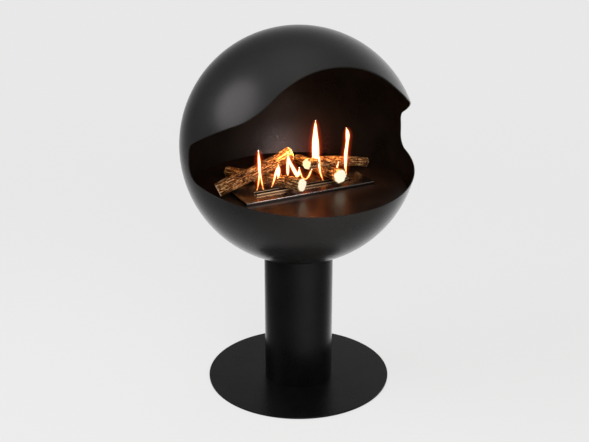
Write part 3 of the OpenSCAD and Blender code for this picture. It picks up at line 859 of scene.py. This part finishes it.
def log(node, seed, girth_share=1.0, flare=0.0, rise=0.0, first_cut=None, rows=330, columns=190):
    """A log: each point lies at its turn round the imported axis, its radius less the bark's depth away.

    Rings of points run in from both ends to the axis and close the cuts. The log may be thicker
    all along by a share, or flare towards its tip by a share of the radius, and its tip may rise.
    The first cut may be slanted, and then faces the way that it is given: its points slide along
    the log into the plane that faces that way, and the bark's slide less the further in they lie.
    """
    centres, radii = log_stations(node)
    length = np.linalg.norm(centres[-1] - centres[0])
    shares = np.concatenate([CUT_RINGS, np.ones(rows), CUT_RINGS[::-1]])
    place = np.concatenate([0 * CUT_RINGS, np.linspace(0, 1, rows), 0 * CUT_RINGS + 1])
    axis, run, radius = log_line(centres, radii, place)
    tip = np.clip((place - FLARE_START) / (1 - FLARE_START), 0, 1)
    axis[:, 2] += rise * tip**2
    radius = radius * (girth_share + flare * tip)

    turn = np.linspace(0, 1, columns, endpoint=False)[None, :]
    girth = 2 * math.pi * float(radii.mean())
    from_end = np.minimum(place, 1 - place)[:, None] * length
    depth, tone, cut = log_skin(place, shares, from_end, turn, place[:, None] * length, girth, seed)

    side = unit(np.cross(run, (0, 0, 1)))
    lift = np.cross(side, run)
    angle = 2 * np.pi * turn
    ring = (radius[:, None] + BARK_PROUD - depth) * shares[:, None]
    sideways, upwards = (ring * np.cos(angle))[..., None], (ring * np.sin(angle))[..., None]
    across = side[:, None] * sideways + lift[:, None] * upwards

    sawn = SAW_DEPTH * end_noise(shares, turn, SAW_MARKS, seed) * (shares < SAWN_SHARE)[:, None]
    outward = np.where(place < 0.5, -1, 1)[:, None] * sawn
    if first_cut is not None:
        slide = -(across @ np.array(first_cut)) / (run @ np.array(first_cut))[:, None]
        outward = outward + slide * (place < 0.5)[:, None] * np.clip(1 - from_end / SLANT_REACH, 0, 1)
    grid = axis[:, None] + run[:, None] * outward[..., None] + across

    carried = {"tone": tone, "cut": cut, "reach": shares[:, None] + 0 * turn}
    name = node.replace("log_", "bark_")
    piece = solid(name, [(grid, False, True)], FINISHES["log_ceramic"], attributes=carried)
    stands_for(piece, node)


# Flames: points along each strand, in millimetres, as x, height over the hearth and width. Where a
# fourth number follows, it is how far the point lies behind the slot's middle line

FLAMES = {
    "flame_left": [
        [(-139.6, 137.4, 0.4), (-138.9, 121, 6), (-137.5, 99, 8.5), (-136.7, 76, 8.5), (-136, 60, 7)],
        [(-137.2, 76, 4.5), (-139.1, 54, 4.5), (-142.4, 32.5, 3.8), (-145.6, 21, 0.5)],
        [(-135, 76, 4.5), (-132.1, 53, 4.3), (-127.8, 30, 3.5), (-125.7, 20, 0.5)],
    ],
    "flame_beside": [
        [(-79.3, 86.1, 0.4), (-79, 75, 10.7), (-80, 63, 13.3), (-79.5, 54, 9.5), (-81.1, 45, 0.5)],
        [(-83, 78, 4.3), (-87.1, 64, 7.2), (-89.3, 55.5, 6.4), (-92.8, 42.5, 5.8), (-96.6, 32, 4.6),
            (-101, 23, 0.5)],
    ],
    "flame_middle": [
        [(-49.1, 116.3, 0.4), (-48.9, 100, 7.5), (-49.5, 85, 8.7), (-49.9, 70, 8.7), (-49.9, 56, 7.5),
            (-49.9, 46, 0.5)],
        [(-46.5, 103, 2.5), (-42, 86, 8), (-36.4, 74, 9.9), (-28.5, 59, 11.6), (-23.2, 49, 12),
            (-24, 38, 0.5)],
        [(-14.1, 68.3, 0.4), (-13.8, 60, 6.2), (-15.4, 50, 10.5), (-20.1, 43, 8.7), (-24, 39, 1)],
        [(-13, 60, 4), (-10.6, 51.7, 5.6), (-6.8, 42, 4.6), (-1.7, 33.5, 4.3), (7.8, 29.9, 4.3),
            (16, 37, 5.6), (22.3, 49.7, 4.9), (26.4, 57, 0.5)],
    ],
    "flame_tall": [
        [(36.5, 198.5, 0.5), (36.4, 184, 8.6), (36.2, 162, 14), (36.5, 139, 19.6), (37.2, 117, 22),
            (37.8, 94, 22), (37.8, 74, 17), (37.8, 62, 1)],
        [(45, 100, 5), (44, 86, 7, -9), (41.5, 72, 7.5, -14), (43, 60, 6, -15), (47, 44, 5, -13),
            (55, 27, 3.6, -9), (58.5, 19, 0.5, -7)],
    ],
    "flame_right": [
        [(134.5, 163.5, 0.5), (137.8, 154, 10), (139.8, 141, 13.3), (139, 121, 9.8), (137.5, 107, 9.8),
            (135.2, 90, 10.6), (134.6, 72, 10.4), (134.8, 54, 8.8), (134.8, 44, 7.4), (136.3, 35, 5),
            (138.8, 22, 0.5)],
    ],
    "flame_spark": [
        [(111.9, 65, 0.4), (109.8, 57.5, 4.6), (107.9, 52.5, 6.1), (107.3, 45, 3)],
    ],
}

# A strand's depth as a share of its width, its least width in millimetres, and the power of the sine
# that narrows its ends
FLAME_DEPTH = 0.62
THINNEST = 0.3
TAPER = 0.35

# Layers of a flame, from its core outwards: swelling in millimetres, glow, cover, whether gloss shows
# it, and colours from low to high. The outer layers' strands are merged, by voxels in millimetres
FLAME_LAYERS = {
    "_core": dict(swollen=-1.7, strength=5.0, cover=1.0, in_gloss=False, stops=[
        (0.0, (0.9, 0.30, 0.06)), (0.25, (1.0, 0.62, 0.24)), (0.6, (1.0, 0.90, 0.66))]),
    "_body": dict(swollen=-0.8, strength=3.4, cover=0.50, in_gloss=False, stops=[
        (0.0, (0.8, 0.20, 0.03)), (0.4, (1.0, 0.48, 0.11)), (0.8, (1.0, 0.66, 0.24))]),
    "_fringe": dict(swollen=0.2, strength=3.0, cover=0.20, in_gloss=True, stops=[
        (0.0, (0.8, 0.12, 0.01)), (0.5, (1.0, 0.32, 0.04))]),
    "_haze": dict(swollen=1.9, strength=4.0, cover=0.035, in_gloss=True, voxel=0.6, stops=[
        (0.0, (0.5, 0.05, 0.0)), (0.6, (1.0, 0.14, 0.012))]),
    "_glow": dict(swollen=4.6, strength=5.0, cover=0.018, in_gloss=True, voxel=0.9, stops=[
        (0.0, (0.4, 0.02, 0.0)), (0.6, (0.9, 0.07, 0.01))]),
    "_halo": dict(swollen=10.5, strength=5.6, cover=0.009, in_gloss=True, voxel=1.2, stops=[
        (0.0, (0.4, 0.02, 0.0)), (0.6, (0.8, 0.05, 0.01))]),
}


def smooth_line(points, shares):
    """Cubic curves through the points, with the slope at each taken from its two neighbours."""
    steps = np.linalg.norm(np.diff(points[:, :2], axis=0), axis=1)
    knots = np.concatenate([[0], np.cumsum(steps)]) / steps.sum()
    slopes = np.gradient(points, knots, axis=0)
    piece = np.clip(np.searchsorted(knots, shares, side="right") - 1, 0, len(knots) - 2)
    width = (knots[piece + 1] - knots[piece])[:, None]
    t = ((shares - knots[piece])[:, None]) / width
    return ((2 * t**3 - 3 * t**2 + 1) * points[piece] + (t**3 - 2 * t**2 + t) * width * slopes[piece]
        + (3 * t**2 - 2 * t**3) * points[piece + 1] + (t**3 - t**2) * width * slopes[piece + 1])


def tongue(strand, swollen, rows=48, columns=20):
    """One strand of flame: flattened ovals along a smooth line, closed to a point at each end.

    Their half width is the strand's own, swollen, times a power of the sine of the way along it.
    """
    points = np.array([(*point, 0)[:4] for point in strand], float)
    line = smooth_line(points, closer_at_ends(rows))
    run = unit(np.gradient(line[:, :2], axis=0))
    across = np.stack([-run[:, 1], run[:, 0]], axis=-1)
    taper = np.sin(np.linspace(0, np.pi, rows)) ** TAPER
    taper[[0, -1]] = 0
    half = (np.maximum(line[:, 2], THINNEST) / 2 + swollen) * taper
    angle = np.linspace(0, 2 * np.pi, columns, endpoint=False)[None, :]
    reach = half[:, None] * np.cos(angle)
    x = line[:, 0, None] + across[:, 0, None] * reach
    z = line[:, 1, None] + across[:, 1, None] * reach
    y = line[:, 3, None] + FLAME_DEPTH * half[:, None] * np.sin(angle)
    return np.stack([x * MM, SLOT_Y + y * MM, HEARTH_TOP + z * MM], axis=-1)


def flame(name, strands, finish, swollen, in_gloss, voxel=None):
    """One layer of a flame: its strands in one piece, swollen by a few millimetres.

    A layer with a voxel size, in millimetres, has its strands merged, so that a ray crosses it once.
    """
    piece = solid(name, [(tongue(strand, swollen), False, True) for strand in strands], finish)
    if voxel:
        merging = piece.modifiers.new("merging", "REMESH")
        merging.mode = "VOXEL"
        merging.voxel_size = voxel * MM
        merging.use_smooth_shade = True
    piece.visible_shadow = False
    piece.visible_diffuse = False
    piece.visible_glossy = in_gloss
    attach(piece, "fireplace")


# Lamps and stage

BACKDROP = (0.807, 0.807, 0.807)
BACKDROP_STRENGTH = 1.0
FLOOR_SHADES = (0.78, 0.78, 0.78), (0.82, 0.82, 0.82)
FLOOR_CLOUDS = 0.4

# The camera sees this share of the backdrop's glow on the floor, and all of it past the fade
GLOW_SHARE = 0.86
GLOW_FADE = (0.4, 3.5)

# Soft lights of the studio: degrees from behind the object round to its right, degrees up,
# narrowness and strength
SKY = {
    "ceiling": (0, 90, 6, 1.49),
    "right wall": (68, 8, 8, 0.99),
    "wall behind": (25, 5, 8, 0.18),
    "left wall": (-62, 20, 8, 0.38),
    "round the key": (-74, 36, 9, 0.64),
    "front wall": (180, 10, 4, 0.73),
    "floor behind": (27, -23, 8, 0.95),
    "floor on the right": (55, -35, 5, 0.84),
    "floor in front": (180, -40, 4, 0.57),
    "floor on the left": (-38, -60, 8, 0.64),
    "low behind on the left": (3, -37, 22, 0.46),
}

# The fire's light on the logs: x, distance behind the slot, height over the hearth and watts
FIRES = [
    (-0.137, 0, 0.095, 0.06),
    (-0.080, 0, 0.062, 0.06),
    (-0.045, 0, 0.095, 0.05),
    (-0.016, 0.036, 0.120, 1.30),
    (-0.045, 0.025, 0.120, 0.08),
    (0.0, 0, 0.045, 0.08),
    (0.037, 0, 0.125, 1.55),
    (0.137, 0, 0.10, 0.55),
    (0.055, 0.150, 0.075, 0.36),
    (-0.165, 0.100, 0.085, 0.20),
]
FIRE_SHADE = (1.0, 0.46, 0.13)
KEY_DISTANCE = 2.5
FRONT_DISTANCE = 3.0

# Lamps: one without matt is seen by gloss only, and one without gloss lights matt surfaces only
LAMPS = {
    "key": dict(
        kind="AREA", place=GLOBE + KEY_DISTANCE * Vector((-0.7826, 0.2017, 0.5890)), target=GLOBE,
        watts=39, shade=(1.0, 0.95, 0.99), shape="DISK", size=1.75),
    "sheen": dict(
        kind="AREA", place=GLOBE + Vector((0.004, -0.315, 0.105)),
        target=GLOBE + Vector((0.09, 0.305, -0.10)), watts=0.56, shade=(1.0, 0.83, 0.80),
        shape="SQUARE", size=0.27, spread=math.radians(90), matt=False),
    "front": dict(
        kind="AREA", place=GLOBE + FRONT_DISTANCE * Vector((-0.148, -0.934, 0.326)), target=GLOBE,
        watts=66, shade=(1.0, 0.92, 0.86), shape="SQUARE", size=1.8, gloss=False),
    "fill": dict(
        kind="AREA", place=(-0.09, -0.5, 0.75), target=(0.0, -0.06, 0.64),
        watts=0.8, shade=(1.0, 0.96, 0.80), shape="SQUARE", size=0.25, gloss=False),
    **{f"fire_{number}": dict(
        kind="POINT", place=(x, SLOT_Y + behind, HEARTH_TOP + height),
        watts=watts, shade=FIRE_SHADE, shadow_soft_size=0.015, gloss=False)
        for number, (x, behind, height, watts) in enumerate(FIRES)},
    "ember": dict(
        kind="POINT", place=(0.037, SLOT_Y, HEARTH_TOP + 0.18),
        watts=0.6, shade=(1.0, 0.14, 0.04), shadow_soft_size=0.035, matt=False),
    "red_glow": dict(
        kind="AREA", place=GLOBE + Vector((-0.10, -0.065, 0.032)),
        target=GLOBE + Vector((0.18, 0.255, -0.10)), watts=0.10, shade=(1.0, 0.085, 0.01),
        shape="DISK", size=0.10, spread=math.radians(90), matt=False),
}


def lamp(name, kind, place, watts, shade, target=None, matt=True, gloss=True, **settings):
    """A lamp that the camera doesn't see. It faces its target where it has one."""
    light = bpy.data.lights.new(name, kind)
    light.energy = watts
    light.color = shade
    for setting, value in settings.items():
        setattr(light, setting, value)
    holder = bpy.data.objects.new(name, light)
    holder.location = place
    if target is not None:
        holder.rotation_euler = (Vector(target) - holder.location).to_track_quat("-Z", "Y").to_euler()
    holder.visible_camera = False
    holder.visible_diffuse = matt
    holder.visible_glossy = gloss
    bpy.context.scene.collection.objects.link(holder)


def set_camera():
    """The photograph's camera, which is level from side to side."""
    camera = bpy.data.cameras.new("camera")
    camera.sensor_fit = "HORIZONTAL"
    camera.sensor_width = SENSOR
    camera.lens = LENS
    camera.clip_end = CAMERA_SIGHT
    holder = bpy.data.objects.new("camera", camera)
    holder.location = CAMERA_PLACE
    holder.rotation_euler = (math.pi / 2 - CAMERA_DOWN, 0, -CAMERA_TURN)
    bpy.context.scene.collection.objects.link(holder)
    bpy.context.scene.camera = holder


def set_world():
    """Soft studio light, where the camera sees only the backdrop's plain colour.

    Each part of the room is a round glow: its strength falls off as the exponential of its
    narrowness times how far the cosine of the angle from its middle lies below 1.
    """
    world = bpy.data.worlds.new("studio")
    world.use_nodes = True
    bpy.context.scene.world = world
    shader = Shader(world.node_tree)
    way = shader.node("TexCoord", output="Generated")
    level = 0.0
    for turn, rise, narrowness, strength in SKY.values():
        turn, rise = math.radians(turn), math.radians(rise)
        middle = (math.sin(turn) * math.cos(rise), math.cos(turn) * math.cos(rise), math.sin(rise))
        towards = shader.measure("DOT_PRODUCT", way, middle)
        level = level + strength * shader.maths("EXPONENT", narrowness * (towards - 1))
    studio = shader.node("Background", {}, {"Color": (1, 1, 1, 1), "Strength": level})
    pale = shader.node("Background", {}, {"Color": (*BACKDROP, 1), "Strength": BACKDROP_STRENGTH})
    seen = shader.node("LightPath", output="Is Camera Ray")
    both = shader.node("MixShader", {}, {0: seen, 1: studio, 2: pale})
    shader.node("OutputWorld", {}, {"Surface": both})


def set_floor(reach=16.0, columns=3):
    """A wide pale floor that keeps a faint shadow and fades to the backdrop's colour with distance.

    Gloss shows the studio's soft lights in its place.
    """
    span = np.linspace(-reach, reach, columns)
    grid = np.stack(np.meshgrid(span, span, indexing="ij") + [np.zeros((columns, columns))], axis=-1)
    mesh = bpy.data.meshes.new("floor")
    mesh.from_pydata(grid.reshape(-1, 3), [], grid_faces(columns, columns))
    material, shader = new_finish("floor")
    shade = shader.mixed(*FLOOR_SHADES, shader.noise(FLOOR_CLOUDS))
    matt = shader.node("BsdfDiffuse", {}, {"Color": shade})
    pale = shader.node("Emission", {}, {"Color": (*BACKDROP, 1), "Strength": BACKDROP_STRENGTH})
    seen = shader.node("LightPath", output="Is Camera Ray")
    distance = shader.measure("LENGTH", shader.place())
    glow = GLOW_SHARE + (1 - GLOW_SHARE) * distance.step(*GLOW_FADE)
    both = shader.node("MixShader", {}, {0: seen * glow, 1: matt, 2: pale})
    shader.node("OutputMaterial", {}, {"Surface": both})
    floor = shown("floor", mesh, material)
    floor.visible_glossy = False


# The scene

set_camera()
bpy.context.scene.view_settings.view_transform = "Standard"
set_world()
set_floor()
for name, facts in LAMPS.items():
    lamp(name, **facts)

for node, piece in frame["nodes"].items():
    piece.data.materials.clear()
    piece.data.materials.append(FINISHES[slot_of(node)])

firebox_shell()
pedestal()
for node, (edge, finish) in ROUNDED.items():
    dressed(node, edge, finish)
for node, facts in LOGS.items():
    log(node, **facts)

for layer, look in FLAME_LAYERS.items():
    finish = flame_finish("flame" + layer, look["stops"], look["strength"], look["cover"])
    for name, strands in FLAMES.items():
        flame(name + layer, strands, finish, look["swollen"], look["in_gloss"], look.get("voxel"))

bpy.context.view_layer.update()
